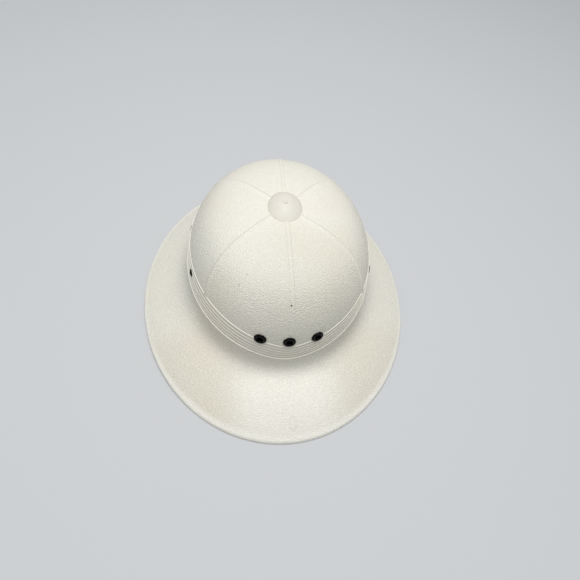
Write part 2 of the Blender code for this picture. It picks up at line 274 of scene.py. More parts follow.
rim_angles = np.linspace(0, math.tau, 721)
rim_points = brim_radius(rim_angles) * np.array([np.sin(rim_angles), np.cos(rim_angles)])
print("rim length", round(np.hypot(*np.diff(rim_points)).sum()), "mm")


# %% Sections through the axis
def dome_share_at(height, inset=0.0):
    """The dome's radius at a height, as a share of its foot's."""
    up = np.clip((height - CROWN_FOOT_HEIGHT) / (CROWN_TOP_HEIGHT - inset - CROWN_FOOT_HEIGHT), 0, 1)
    return (1 - up ** DOME_POWER_UP) ** (1 / DOME_POWER_OUT)


def dome_height_at(share, inset=0.0):
    """The dome's height where its radius is a share of its foot's."""
    up = (1 - np.clip(share, 0, 1) ** DOME_POWER_OUT) ** (1 / DOME_POWER_UP)
    return CROWN_FOOT_HEIGHT + (CROWN_TOP_HEIGHT - inset - CROWN_FOOT_HEIGHT) * up


def cap_row(angle, radius, inset=0.0):
    """A row of the crown's top, at one distance from the axis."""
    return radius + 0 * angle, dome_height_at(radius / crown_radius(angle, inset), inset)


def dome_row(angle, share, start, low_height, inset=0.0):
    """A row of the dome, from a start radius near the top (0) down to a low height (1)."""
    outer = crown_radius(angle, inset)
    first = np.arcsin((start / outer) ** (DOME_POWER_OUT / 2))
    last = np.arcsin(np.clip(dome_share_at(low_height, inset) ** (DOME_POWER_OUT / 2), 0, 1))
    part = np.sin(first + share * (last - first)) ** (2 / DOME_POWER_OUT)
    return outer * part, dome_height_at(part, inset)


def wall_row(angle, height, inset=0.0):
    """A row of the crown's wall at given heights."""
    return crown_radius(angle, inset) * dome_share_at(height, inset), height


def wall_foot(angle):
    """Height where the last pleat has run out and the brim's curve starts."""
    return band_foot(angle) - band_width(angle) / (PLEATS - 1)


def front_share(angle):
    """How much the brim's front shape counts: 1 over the front arc, and 0 from the sides back."""
    left = (FRONT_HOLLOW_END - turned_from_front(angle)) / (FRONT_HOLLOW_END - FRONT_HOLLOW_ARC)
    left = np.clip(left, 0, 1)
    return left * left * (3 - 2 * left)


def brim_row(angle, share, inset=0.0):
    """A row of the brim's Bezier curve, from the wall's foot (0) to the lip (1)."""
    foot_radius, foot_height = wall_row(angle, wall_foot(angle))
    edge_radius = brim_radius(angle) - LIP_RADIUS * (1 - math.sin(BRIM_EDGE_SLOPE))
    edge_height = rim_height(angle) + LIP_DROP + LIP_RADIUS * math.cos(BRIM_EDGE_SLOPE)
    run = edge_radius - foot_radius
    drop = foot_height - edge_height
    front = front_share(angle)
    down_handle = (FOOT_HANDLE_DOWN + front * (FRONT_FOOT_HANDLE_DOWN - FOOT_HANDLE_DOWN)) * drop
    out_handle = (FOOT_HANDLE_OUT + front * (FRONT_FOOT_HANDLE_OUT - FOOT_HANDLE_OUT)) * run
    handle = (EDGE_HANDLE + front * (FRONT_EDGE_HANDLE - EDGE_HANDLE)) * run
    points = [
        (foot_radius, foot_height),
        (foot_radius + out_handle, foot_height - down_handle),
        (edge_radius - handle, edge_height + handle * math.tan(BRIM_EDGE_SLOPE)),
        (edge_radius, edge_height),
    ]
    left = 1 - share
    weights = (left ** 3, 3 * left ** 2 * share, 3 * left * share ** 2, share ** 3)
    radius, height = (sum(w * p[axis] for w, p in zip(weights, points)) for axis in (0, 1))
    slopes = (left ** 2, 2 * left * share, share ** 2)
    sides = [(q[0] - p[0], q[1] - p[1]) for p, q in zip(points, points[1:])]
    out, down = (sum(s * side[axis] for s, side in zip(slopes, sides)) for axis in (0, 1))
    length = np.hypot(out, down)
    return radius + inset * down / length, height - inset * out / length


def lip_row(angle, turn, inset=0.0):
    """A row of the rim's rounded lip, from the brim's slope round to straight down."""
    centre_radius = brim_radius(angle) - LIP_RADIUS
    centre_height = rim_height(angle) + LIP_DROP
    radius = LIP_RADIUS - inset
    return centre_radius + radius * math.sin(turn), centre_height + radius * math.cos(turn)


print("wall's foot at the front", round(float(wall_foot(0.0)), 1), "mm up")

# %% [markdown]
# ## The shell's grid
#
# The grid is closed like a tube bent into a ring. It starts at the stem's hole in the crown, runs
# over the outer face to the rim, turns under, and comes back up the inner face. Rows are crowded at
# the pleats' ledges and columns at the strips, because relief needs points to stand on.
#
# Each point remembers what the relief will ask: how far it lies from the middle of the nearest strip,
# that strip's own shares of width, height and painted edge light (shade and highlight), how far up the
# band it lies, counted in pleats from the lowest ledge, and how far it lies from the edge of the nearest
# eyelet.

# %% Places that the relief leaves free
FRONT_EYELET = {"height": 73.1, "scale": 1.0}
SIDE_EYELET = {"height": 72.0, "scale": 0.62}
EYELETS = {
    "eyelet_front_centre": {"angle": 0.0, **FRONT_EYELET},
    "eyelet_front_left": {"angle": -14.2, **FRONT_EYELET},
    "eyelet_front_right": {"angle": 14.2, **FRONT_EYELET},
    "eyelet_side_left": {"angle": -71.8, **SIDE_EYELET},
    "eyelet_side_right": {"angle": 71.8, **SIDE_EYELET},
    "eyelet_side_left_rear": {"angle": -106.5, **SIDE_EYELET},
    "eyelet_side_right_rear": {"angle": 106.5, **SIDE_EYELET},
}


def wall_point(angle, height):
    """A point on the crown's wall, in metres."""
    radius, level = wall_row(angle, height)
    return Vector((radius * math.sin(angle), CROWN_SET_BACK - radius * math.cos(angle), level)) * MM


def wall_frame(angle, height):
    """A frame on the crown's wall: its origin on the surface, +Z pointing out of it."""
    turn = math.radians(0.5)
    rise = 0.01 * height
    around = wall_point(angle + turn, height) - wall_point(angle - turn, height)
    up = wall_point(angle, height + rise) - wall_point(angle, height - rise)
    outward = around.cross(up).normalized()
    sideways = around.normalized()
    facing = Matrix((sideways, outward.cross(sideways), outward)).transposed().to_4x4()
    return Matrix.Translation(wall_point(angle, height)) @ facing


eyelet_frames = {}
for name, eyelet in EYELETS.items():
    eyelet_frames[name] = wall_frame(math.radians(eyelet["angle"]), eyelet["height"])
print("eyelets:", len(eyelet_frames))

# %% Strips
# A strip's width and height are shares of the full ones. Its painted edge light is given for the side
# towards growing angles and for the other side: painted shade along the edge above 0, and a painted
# highlight below 0.
STRIPS = (
    {"angle": 0.4, "lean": 0.0, "width": 1.0, "height": 0.60, "edge_light": (0.2, 0.0)},
    {"angle": 53.5, "lean": -2.3, "width": 0.65, "height": 0.70, "edge_light": (1.0, -0.45)},
    {"angle": 133.5, "lean": 0.0, "width": 0.65, "height": 0.75, "edge_light": (0.9, -0.55)},
    {"angle": 178.0, "lean": 0.0, "width": 0.85, "height": 0.78, "edge_light": (0.0, 0.0)},
    {"angle": 226.5, "lean": 0.0, "width": 0.65, "height": 0.75, "edge_light": (-0.55, 0.9)},
    {"angle": 306.5, "lean": 2.3, "width": 0.65, "height": 0.70, "edge_light": (-0.25, 1.0)},
)
LEAN_TOP = 115.0
LEAN_FOOT = 80.0
STRIP_START = 15.0
STRIP_RAMP = 3.0
print("strips:", len(STRIPS))

# %% Rows of the grid
STEM_HOLE = 3.3
CAP_RADII = (STEM_HOLE, 8.0, 12.5, 14.2)
RAMP_ROWS = 6
DOME_ROWS = 50
DOME_CROWDING = 0.85
PLEAT_STEPS = (0.0, 0.02, 0.045, 0.065, 0.09, 0.20, 0.45, 0.70, 0.90)
BRIM_ROWS = 36
LIP_ROWS = 9
OFF_THE_BAND = -9.0


def upper_row(angle, share):
    """A row of the dome between the strips' start (0) and the band's top (1)."""
    return dome_row(angle, share, STRIP_START + STRIP_RAMP, band_foot(angle) + band_width(angle))


def band_row(angle, pleats_up):
    """A row of the wall, a number of pleats above the band's lowest ledge."""
    return wall_row(angle, band_foot(angle) + pleats_up / (PLEATS - 1) * band_width(angle))


def outer_rows():
    """Rows of the outer face, from the hole to the rim: a place, the strips' share, pleats up."""
    rows = []
    for radius in CAP_RADII:
        rows.append((lambda a, r=radius: cap_row(a, r), 0.0, OFF_THE_BAND))
    for step in range(RAMP_ROWS + 1):
        share = step / RAMP_ROWS
        radius = STRIP_START + share * STRIP_RAMP
        rows.append((lambda a, r=radius: cap_row(a, r), math.sin(share * math.pi / 2), OFF_THE_BAND))
    for step in range(1, DOME_ROWS):
        share = (step / DOME_ROWS) ** DOME_CROWDING
        rows.append((lambda a, s=share: upper_row(a, s), 1.0, OFF_THE_BAND))
    for ledge in range(PLEATS - 1, -1, -1):
        for step in PLEAT_STEPS:
            strip = 1.0 if ledge == PLEATS - 1 and step == 0 else 0.0
            rows.append((lambda a, u=ledge - step: band_row(a, u), strip, ledge - step))
    for step in range(BRIM_ROWS + 1):
        rows.append((lambda a, s=step / BRIM_ROWS: brim_row(a, s), 0.0, OFF_THE_BAND))
    for step in range(1, LIP_ROWS + 1):
        turn = BRIM_EDGE_SLOPE + step / LIP_ROWS * (math.pi / 2 - BRIM_EDGE_SLOPE)
        rows.append((lambda a, t=turn: lip_row(a, t), 0.0, OFF_THE_BAND))
    return rows


print("rows outside:", len(outer_rows()))

# %% Rows of the rim and the inner face
RIM_ROUNDING = 0.4
ROUNDED_SHARE = 0.3
INNER_BRIM_ROWS = 16
INNER_DOME_ROWS = 26
INNER_CAP_RADIUS = 9.0


def rim_rows():
    """The rim's underside, rounded at both of its edges."""
    small = ROUNDED_SHARE * RIM_ROUNDING
    corner = ((0.0, RIM_ROUNDING), (small, small), (RIM_ROUNDING, 0.0))
    section = list(corner) + [(WALL - inwards, up) for inwards, up in reversed(corner)]
    return [(lambda a, i=inwards, u=up: (brim_radius(a) - i, rim_height(a) + u)) for inwards, up in section]


def inner_rows():
    """The plain inner face, from the lip back up to the stem's hole."""
    rows = [lambda a: lip_row(a, math.pi / 2, WALL)]
    for step in range(INNER_BRIM_ROWS, -1, -1):
        rows.append(lambda a, s=step / INNER_BRIM_ROWS: brim_row(a, s, WALL))
    for step in range(INNER_DOME_ROWS, -1, -1):
        rows.append(lambda a, s=step / INNER_DOME_ROWS: dome_row(a, s, STRIP_START, band_foot(a), WALL))
    for radius in (INNER_CAP_RADIUS, STEM_HOLE):
        rows.append(lambda a, r=radius: cap_row(a, r, WALL))
    return rows


print("rows inside:", len(inner_rows()))

# %% Columns of the grid
STRIP_REACH = 3.4
STRIP_COLUMNS = 10
STRIP_CROWDING = 0.3
COLUMN_SPACING = 2.0
COLUMN_RADIUS = 94.0


def strip_middles(place):
    """The angles of the strips' middles on a row. The leaning ones turn on their way down."""
    straight = np.radians([strip["angle"] for strip in STRIPS])
    down = np.clip((LEAN_TOP - place(straight)[1]) / (LEAN_TOP - LEAN_FOOT), 0, 1)
    return straight + down * np.radians([strip["lean"] for strip in STRIPS])


def row_columns(place):
    """A row's columns: their angles, and what the relief asks about each one's nearest strip."""
    middles = strip_middles(place)
    columns = {"angle": [], "across_strip": [], "width_share": [], "height_share": [], "wear_share": []}
    for index, strip in enumerate(STRIPS):
        next_index = (index + 1) % len(STRIPS)
        next_strip = STRIPS[next_index]
        middle = middles[index]
        following = middles[next_index] + (math.tau if next_index == 0 else 0.0)
        span = following - middle
        here = min(STRIP_REACH / place(np.array(middle))[0], STRIP_CROWDING * span)
        there = min(STRIP_REACH / place(np.array(following))[0], STRIP_CROWDING * span)
        turn = math.radians(next_strip["angle"] - strip["angle"]) % math.tau
        angle = np.concatenate([
            middle + here * np.arange(STRIP_COLUMNS) / STRIP_COLUMNS,
            np.linspace(middle + here, following - there, round(turn * COLUMN_RADIUS / COLUMN_SPACING)),
            following - there + there * np.arange(1, STRIP_COLUMNS) / STRIP_COLUMNS,
        ])
        nearer = angle - middle < following - angle
        columns["angle"].append(angle)
        columns["across_strip"].append(np.minimum(angle - middle, following - angle) * place(angle)[0] * MM)
        columns["width_share"].append(np.where(nearer, strip["width"], next_strip["width"]))
        columns["height_share"].append(np.where(nearer, strip["height"], next_strip["height"]))
        columns["wear_share"].append(np.where(nearer, strip["edge_light"][0], next_strip["edge_light"][1]))
    columns = {name: np.concatenate(parts) for name, parts in columns.items()}
    return columns.pop("angle"), columns


print("columns:", len(row_columns(outer_rows()[0][0])[0]))


# %% The grid as a mesh
EYELET_RADIUS = 5.5


def off_the_eyelets(points):
    """Each point's distance from the edge of the nearest eyelet."""
    nearest = np.full(len(points), 1.0)
    for name, facing in eyelet_frames.items():
        away = np.linalg.norm(points - np.array(facing.translation), axis=1)
        nearest = np.minimum(nearest, away - EYELET_RADIUS * EYELETS[name]["scale"] * MM)
    return nearest


def shell_grid():
    """The closed grid with its attributes, before any relief."""
    rows = outer_rows() + [(place, 0.0, OFF_THE_BAND) for place in rim_rows() + inner_rows()]
    points = []
    columns = {}
    for place, strip_share, pleats_up in rows:
        angle, asked = row_columns(place)
        asked["height_share"] = asked["height_share"] * strip_share
        asked["pleats_up"] = np.full(len(angle), pleats_up)
        for name, values in asked.items():
            columns.setdefault(name, []).append(values)
        radius, height = place(angle)
        y = CROWN_SET_BACK - radius * np.cos(angle)
        points.append(np.stack([radius * np.sin(angle), y, height + 0 * angle], 1))
    grid = np.arange(len(rows) * len(points[0])).reshape(len(rows), -1)
    below = np.roll(grid, -1, axis=0)
    faces = np.stack([grid, below, np.roll(below, -1, axis=1), np.roll(grid, -1, axis=1)], axis=-1)
    points = np.concatenate(points) * MM
    data = bpy.data.meshes.new("shell_moulding")
    data.from_pydata(points.tolist(), [], faces.reshape(-1, 4).tolist())
    values = {name: np.concatenate(column) for name, column in columns.items()}
    values["off_eyelet"] = off_the_eyelets(points)
    for name, column in values.items():
        data.attributes.new(name, "FLOAT", "POINT").data.foreach_set("value", column)
    data.shade_smooth()
    return data


shell = in_scene("shell_moulding", shell_grid())
print("shell grid:", len(shell.data.vertices), "points")

# %% [markdown]
# ## Strips and pleats
#
# On the moulded shell the strips and the pleats are one low relief, at most 1.2 mm high. A Geometry
# Nodes tree can raise them along the surface's normals by rules, so that their sizes stay inputs of
# the tree. A strip has a flat back and rounded shoulders, which get softer towards the band, and it
# narrows towards the button. A pleat is a saw tooth: a steep ledge, a rounded lip, and a face that
# slopes back to the wall before the next ledge. The lowest ledge stands proudest, and the highest
# has a gap where each strip runs into it. Both kinds of relief fade out round the eyelets, because
# the real ones sit in smooth round seats.
#
# The tree also stores two values that the plastic will read: how far below its ledge a point lies,
# which sets the painted shade in the pleats' roots, and the painted shade and highlight along the
# strips' edges.

# %% Relief sizes, in metres
RELIEF_SIZES = {
    "Strip half width": 0.0018,
    "Strip shoulder": 0.0008,
    "Shoulder gain": 0.0005,
    "Edge half width": 0.0012,
    "Strip height": 0.00075,
    "Pleat depth": 0.00045,
    "Top pleat depth": 0.00056,
    "Bottom pleat depth": 0.00120,
    "Ledge share": 0.06,
    "Lip rounding": 0.06,
    "Lip gap": 0.0014,
    "Gap softness": 0.0006,
    "Seat margin": 0.0004,
    "Seat edge": 0.0013,
}
SOFTENING_LEVELS = (0.112, 0.080)
TAPER_LEVELS = (0.128, 0.105)
TAPER_AT_TOP = 0.7
EDGE_LIGHT_LEVELS = (0.080, 0.094)
HIGHLIGHT_INSET = 1.6
WHOLE_STRIP = 0.3
print("relief sizes:", len(RELIEF_SIZES))


# %% Relief of the strips
def named(tree, name):
    """A float attribute of the mesh, read by name."""
    return add(tree, "GeometryNodeInputNamedAttribute", {"Name": name}, data_type="FLOAT").outputs[0]


def strip_relief(tree, given):
    """How high a strip stands at a point, and its painted edge light there: painted shade above 0, and a
    painted highlight below 0.
    """
    place = tree.nodes.new("GeometryNodeInputPosition").outputs[0]
    level = axes(tree, place)["Z"]
    softer = ramped(tree, level, *SOFTENING_LEVELS, 0.0, given["Shoulder gain"])
    shoulder = calc(tree, "ADD", given["Strip shoulder"], softer)
    taper = ramped(tree, level, *TAPER_LEVELS, TAPER_AT_TOP, 1.0)
    half_width = product(tree, given["Strip half width"], taper, named(tree, "width_share"))
    across = named(tree, "across_strip")
    strip = ramped(tree, across, calc(tree, "ADD", half_width, shoulder), half_width)
    height = product(tree, given["Strip height"], named(tree, "height_share"))

    # Painted shade along one edge of a strip, and a painted highlight just inside the other, by its share.
    reach = given["Edge half width"]
    outside = calc(tree, "SUBTRACT", across, calc(tree, "MULTIPLY_ADD", shoulder, 0.5, half_width))
    painted_shade = ramped(tree, calc(tree, "ABSOLUTE", outside), reach, 0.0)
    inside = calc(tree, "ADD", outside, product(tree, reach, HIGHLIGHT_INSET))
    painted_highlight = ramped(tree, calc(tree, "ABSOLUTE", inside), reach, 0.0)
    share = named(tree, "wear_share")
    painted_highlight = product(tree, painted_highlight, calc(tree, "MAXIMUM", share, 0.0))
    edge_light = calc(tree, "SUBTRACT", product(tree, painted_shade, share), painted_highlight)
    whole = calc(tree, "GREATER_THAN", named(tree, "height_share"), WHOLE_STRIP)
    return product(tree, strip, height), product(tree, edge_light, whole, ramped(tree, level, *EDGE_LIGHT_LEVELS))


print("strips stand up to", RELIEF_SIZES["Strip height"] / MM, "mm")


# %% Relief of the pleats
def pleat_relief(tree, given):
    """How high a pleat stands at a point, and how far below its ledge the point lies."""
    pleats_up = named(tree, "pleats_up")
    below_ledge = calc(tree, "FRACT", product(tree, pleats_up, -1.0))
    ledge_rise = calc(tree, "DIVIDE", below_ledge, given["Ledge share"])
    face_fall = calc(tree, "SUBTRACT", 1.0, below_ledge)
    pleat = calc(tree, "SMOOTH_MIN", ledge_rise, face_fall, given["Lip rounding"])
    at_top = calc(tree, "GREATER_THAN", pleats_up, PLEATS - 2.0)
    at_bottom = calc(tree, "LESS_THAN", pleats_up, 0.0)
    gap = given["Lip gap"]
    gap_edge = calc(tree, "ADD", gap, given["Gap softness"])
    top_depth = ramped(tree, named(tree, "across_strip"), gap, gap_edge, 0.0, given["Top pleat depth"])
    depth = ramped(tree, at_top, 0.0, 1.0, given["Pleat depth"], top_depth)
    depth = ramped(tree, at_bottom, 0.0, 1.0, depth, given["Bottom pleat depth"])
    return product(tree, pleat, depth), below_ledge


print("pleats stand up to", RELIEF_SIZES["Bottom pleat depth"] / MM, "mm")


# %% Relief tree
def geometry_tree(name, inputs):
    """A Geometry Nodes tree with a geometry, named inputs and a material, and its input sockets."""
    tree = bpy.data.node_groups.new(name, "GeometryNodeTree")
    socket(tree, "Geometry", "NodeSocketGeometry")
    for title, (kind, default) in inputs.items():
        socket(tree, title, kind, default)
    socket(tree, "Material", "NodeSocketMaterial")
    socket(tree, "Geometry", "NodeSocketGeometry", output=True)
    return tree, tree.nodes.new("NodeGroupInput").outputs


def close_tree(tree, made, material):
    """End a tree: its geometry is made real, gets its material and goes out."""
    made = add(tree, "GeometryNodeRealizeInstances", {"Geometry": made}).outputs[0]
    made = add(tree, "GeometryNodeSetMaterial", {"Geometry": made, "Material": material}).outputs[0]
    tree.links.new(made, tree.nodes.new("NodeGroupOutput").inputs["Geometry"])


def relief_tree():
    """Geometry Nodes that raise the strips and the pleats off the shell's outer face."""
    sizes = {name: ("NodeSocketFloat", size) for name, size in RELIEF_SIZES.items()}
    tree, given = geometry_tree("moulded_relief", sizes)
    strip_rise, edge_wear = strip_relief(tree, given)
    pleat_rise, below_ledge = pleat_relief(tree, given)
    clear = ramped(tree, named(tree, "off_eyelet"), given["Seat margin"], given["Seat edge"])
    rise = product(tree, calc(tree, "ADD", strip_rise, pleat_rise), clear)
    outwards = {"Vector": tree.nodes.new("GeometryNodeInputNormal").outputs[0], "Scale": rise}
    offset = add(tree, "ShaderNodeVectorMath", outwards, operation="SCALE").outputs[0]
    made = add(tree, "GeometryNodeSetPosition", {"Geometry": given["Geometry"], "Offset": offset}).outputs[0]
    # Stored for the plastic: the place under each ledge for painted shade, and the strips' painted edge
    # light.
    for name, value in (("ledge_shade", below_ledge), ("edge_wear", edge_wear)):
        stored = {"Geometry": made, "Name": name, "Value": value}
        kinds = {"data_type": "FLOAT", "domain": "POINT"}
        made = add(tree, "GeometryNodeStoreNamedAttribute", stored, **kinds).outputs[0]
    close_tree(tree, made, given["Material"])
    return tree


relief = relief_tree()
print("relief tree:", len(relief.nodes), "nodes")

# %% [markdown]
# ## Grain and handling, shared by the mouldings
#
# The shell and the button come from moulds with the same pebbled skin, and both have been handled.
# So grain and patina are node groups, built once and placed in each plastic with its own sizes.
# They put out heights and masks, and each material decides what to do with them.

# %% Group: pebble grain
GRIT_FINENESS = 1.7
GRIT_SHARE = 0.7
MOTTLE_COARSENESS = 0.35
PEBBLE_REACH = (0.1, 0.75)


def blend(tree, share, first, second, way="MIX"):
    """The colour between two, or their product, by a share."""
    given = {0: share, 6: first, 7: second}
    return add(tree, "ShaderNodeMix", given, data_type="RGBA", blend_type=way).outputs[2]


def object_place(tree):
    """The place on a piece, which stays with the piece wherever it goes."""
    return tree.nodes.new("ShaderNodeTexCoord").outputs["Object"]


def attribute(tree, name):
    """A value that the piece's mesh carries, read by a shader."""
    return add(tree, "ShaderNodeAttribute", attribute_name=name).outputs["Fac"]


def pebble_grain_group():
    """Rounded pebbles with finer grit between them, as a height and as a mottle."""
    tree = bpy.data.node_groups.new("pebble_grain", "ShaderNodeTree")
    socket(tree, "Pebbles per metre", "NodeSocketFloat", 900.0)
    socket(tree, "Height", "NodeSocketFloat", output=True)
    socket(tree, "Mottle", "NodeSocketFloat", output=True)
    density = tree.nodes.new("NodeGroupInput").outputs["Pebbles per metre"]
    place = object_place(tree)
    cells = {"Vector": place, "Scale": density, "Smoothness": 0.6, "Randomness": 1.0}
    pebbles = add(tree, "ShaderNodeTexVoronoi", cells, feature="SMOOTH_F1").outputs["Distance"]
    finer = product(tree, density, GRIT_FINENESS)
    grit = add(tree, "ShaderNodeTexNoise", {"Vector": place, "Scale": finer, "Detail": 2.0}).outputs["Fac"]
    round_tops = ramped(tree, pebbles, *PEBBLE_REACH, 1.0, 0.0)
    height = calc(tree, "MULTIPLY_ADD", grit, GRIT_SHARE, round_tops)
    coarser = product(tree, density, MOTTLE_COARSENESS)
    cloud = {"Vector": place, "Scale": coarser, "Detail": 4.0, "Roughness": 0.65}
    mottle = add(tree, "ShaderNodeTexNoise", cloud).outputs["Fac"]
    ends = tree.nodes.new("NodeGroupOutput").inputs
    tree.links.new(height, ends["Height"])
    tree.links.new(mottle, ends["Mottle"])
    return tree


pebble_grain = pebble_grain_group()
print("group:", pebble_grain.name)

# %% Group: patina
PATCH_STARTS = {"Yellowed": (0.3, 0.1, 0.0), "Pinkish": (0.7, 0.4, 0.2)}
PATCH_ENDS = (0.48, 0.72)


def patina_group():
    """Masks of broad patches where the plastic has yellowed or gone faintly pink."""
    tree = bpy.data.node_groups.new("patina", "ShaderNodeTree")
    socket(tree, "Patches per metre", "NodeSocketFloat", 14.0)
    for name in PATCH_STARTS:
        socket(tree, name, "NodeSocketFloat", output=True)
    density = tree.nodes.new("NodeGroupInput").outputs["Patches per metre"]
    place = object_place(tree)
    ends = tree.nodes.new("NodeGroupOutput").inputs
    for name, start in PATCH_STARTS.items():
        moved = add(tree, "ShaderNodeVectorMath", {0: place, 1: start}, operation="ADD").outputs[0]
        cloud = {"Vector": moved, "Scale": density, "Detail": 3.0, "Roughness": 0.6}
        patch = add(tree, "ShaderNodeTexNoise", cloud).outputs["Fac"]
        tree.links.new(ramped(tree, patch, *PATCH_ENDS), ends[name])
    return tree


patina = patina_group()
print("group:", patina.name)

# %% [markdown]
# ## The ivory plastic
#
# The plastic is a warm off-white with a dull sheen. Its pebbles are about a millimetre across, too
# small for the mesh, so they are bump. Hands have rubbed the grain smoother on top of the crown, and
# the mould left it faint on the pleats.

# %% Plastic material
IVORY = (0.735, 0.715, 0.628, 1.0)
YELLOWED = (0.74, 0.69, 0.56, 1.0)
PINKISH = (0.75, 0.68, 0.62, 1.0)
YELLOWED_SHARE = 0.5
PINKISH_SHARE = 0.4
MOTTLE_ENDS = (0.3, 0.7)
MOTTLE_SHADE = 0.955
SHEEN_SPREAD = 0.05


def new_material(name):
    """A material with nodes, its tree and its shader."""
    made = bpy.data.materials.new(name)
    made.use_nodes = True
    return made, made.node_tree, made.node_tree.nodes["Principled BSDF"]


def moulded_plastic(name, colour, roughness, pebbles, grain_depth, grain_share=None):
    """A pebbled plastic with patina, with its shader and its tint. A mask may weaken its grain."""
    made, tree, shader = new_material(name)
    grain = add(tree, "ShaderNodeGroup", node_tree=pebble_grain)
    grain.inputs["Pebbles per metre"].default_value = pebbles
    marks = add(tree, "ShaderNodeGroup", node_tree=patina)
    tint = blend(tree, product(tree, marks.outputs["Yellowed"], YELLOWED_SHARE), colour, YELLOWED)
    tint = blend(tree, product(tree, marks.outputs["Pinkish"], PINKISH_SHARE), tint, PINKISH)
    mottle = grain.outputs["Mottle"]
    tint = blend(tree, 1.0, tint, ramped(tree, mottle, *MOTTLE_ENDS, MOTTLE_SHADE, 1.0), "MULTIPLY")
    sheen = ramped(tree, mottle, *MOTTLE_ENDS, roughness - SHEEN_SPREAD, roughness + SHEEN_SPREAD)
    tree.links.new(sheen, shader.inputs["Roughness"])
    height = grain.outputs["Height"]
    if grain_share:
        height = product(tree, height, grain_share(tree))
    bump = {"Height": height, "Distance": grain_depth, "Strength": 1.0}
    tree.links.new(add(tree, "ShaderNodeBump", bump).outputs["Normal"], shader.inputs["Normal"])
    tree.links.new(tint, shader.inputs["Base Color"])
    return made, shader, tint


print("ivory:", IVORY[:3], "yellowed:", YELLOWED[:3], "pinkish:", PINKISH[:3])

# %% The shell's own grain
GRAIN_ROUGHNESS = 0.56
PEBBLES_PER_METRE = 1050.0
GRAIN_DEPTH = 0.00038
GRAIN_ON_PLEATS = 0.15
BAND_STARTS = (-1.0, -0.9)
GRAIN_ON_BRIM = 0.85
GRAIN_ON_TOP = 0.60
CROWN_STARTS = (0.055, 0.070)
RUBBED_LEVELS = (0.104, 0.119)


def shell_grain_share(tree):
    """How much of the grain shows: least on the pleats, some on the rubbed top, and most on the crown."""
    pleats_up = attribute(tree, "pleats_up")
    off_band = ramped(tree, pleats_up, *BAND_STARTS, 1.0, GRAIN_ON_PLEATS)
    level = axes(tree, object_place(tree))["Z"]
    on_crown = ramped(tree, level, *CROWN_STARTS, GRAIN_ON_BRIM, 1.0)
    unrubbed = ramped(tree, level, *RUBBED_LEVELS, 1.0, GRAIN_ON_TOP)
    return product(tree, off_band, on_crown, unrubbed)


ivory, ivory_shader, ivory_tint = moulded_plastic(
    "ivory_plastic", IVORY, GRAIN_ROUGHNESS, PEBBLES_PER_METRE, GRAIN_DEPTH, shell_grain_share)
print("material:", ivory.name)

# %% [markdown]
# ## Painted shade, painted highlights and marks on the shell
#
# Shade and highlights are painted into the plastic's colour. Painted shade darkens the pleats'
# roots, most of all at the front, and the rear edges of the diagonal strips, while a painted highlight
# lightens their front edges. Painted shade darkens the crown's front and the brim beside its middle, and
# painted highlights lighten the middle of the brim and the rim. The crown carries a few specks, and the
# brim has one faint oval scuff. Each of these is a tint by place or by an attribute, laid over the one
# before it.

# %% Painted shade and highlights on the relief
# The darker tint is painted shade, and also the real dirt of the brim's scuff; the lighter one is a painted
# highlight.
DIRT_AND_SHADE = (0.42, 0.38, 0.30, 1.0)
HIGHLIGHT_TINT = (0.83, 0.81, 0.73, 1.0)
PAINTED_LIGHT_MIDDLE = 0.012
ROOT_DEPTHS = (0.30, 1.0)
ROOT_ACROSS = (0.070, 0.020)
ROOT_SHARES = (0.55, 1.0)
EDGE_SHADE_SHARE = 0.30


def off_middle(tree, spot):
    """How far sideways a point lies from the middle of the painted shade at the front."""
    return calc(tree, "ABSOLUTE", calc(tree, "SUBTRACT", spot["X"], PAINTED_LIGHT_MIDDLE))


def with_relief_shade_and_highlight(tree, tint, spot):
    """The tint with painted shade in the pleats' roots, strongest at the front, and painted shade and a
    painted highlight along the strips' edges.
    """
    # Painted shade in each pleat's root, just above the next ledge, most at the front.
    below = attribute(tree, "ledge_shade")
    most = ramped(tree, off_middle(tree, spot), *ROOT_ACROSS, *ROOT_SHARES)
    tint = blend(tree, ramped(tree, below, *ROOT_DEPTHS, 0.0, most), tint, DIRT_AND_SHADE)
    edge_light = attribute(tree, "edge_wear")
    painted_shade = product(tree, calc(tree, "MAXIMUM", edge_light, 0.0), EDGE_SHADE_SHARE)
    painted_highlight = calc(tree, "MAXIMUM", product(tree, edge_light, -1.0), 0.0)
    return blend(tree, painted_highlight, blend(tree, painted_shade, tint, DIRT_AND_SHADE), HIGHLIGHT_TINT)


print("wear:", {strip["angle"]: strip["edge_light"] for strip in STRIPS})

# %% Painted shade and highlights on the broad forms
# Painted shade on the crown's front and beside the middle of the brim, and painted highlights on the brim's
# middle and along the rim.
FRONT_SHADE = (0.60, 0.585, 0.50, 1.0)
BRIM_SHADE = (0.66, 0.62, 0.52, 1.0)
FRONT_SHADE_ACROSS = (0.062, 0.012)
FRONT_SHADE_ALONG = (0.0, -0.035)
FRONT_SHADE_LEVELS = (0.032, 0.056)
FRONT_SHADE_SHARE = 0.48
BRIM_LEVELS = (0.052, 0.042)
BRIM_HIGHLIGHT_ACROSS = (0.075, 0.025)
BRIM_HIGHLIGHT_ALONG = (-0.092, -0.106)
BRIM_HIGHLIGHT_FADING = (-0.115, -0.150)
BRIM_HIGHLIGHT_SHARES = (0.70, 0.45)
BRIM_SHADE_ALONG = (-0.035, -0.075)
BRIM_SHADE_SHARE = 0.7
RIM_HIGHLIGHT_LEVELS = (0.0085, 0.0055)
RIM_HIGHLIGHT_SHARE = 0.85


